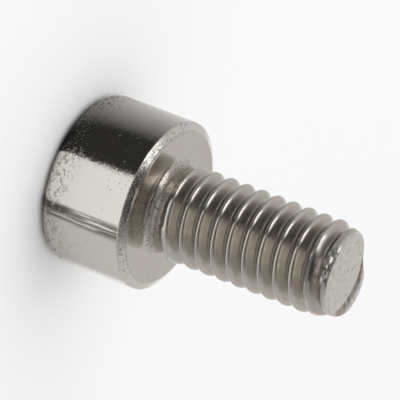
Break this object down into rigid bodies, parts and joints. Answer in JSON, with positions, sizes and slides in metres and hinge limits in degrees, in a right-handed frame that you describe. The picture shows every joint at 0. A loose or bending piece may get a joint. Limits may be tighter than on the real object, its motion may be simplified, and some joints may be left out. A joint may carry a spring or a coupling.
{
  "type": "socket head cap screw",
  "caption": "Short metric machine screw with a smooth cylindrical head, a hex socket for a key in its flat top, and a right-hand thread up to a small neck under the head.",
  "frame": {"origin": "centre of the head's flat top, on the surface that the screw stands on", "axes": "+Z along the screw's axis from the head to the tip"},
  "size_m": [0.0068, 0.0068, 0.0119],
  "materials": {
    "plated_steel": "bright plated steel with fine pits and handling marks"
  },
  "bodies": {
    "root": {"cap_screw": "plated_steel"}
  },
  "joints": []
}
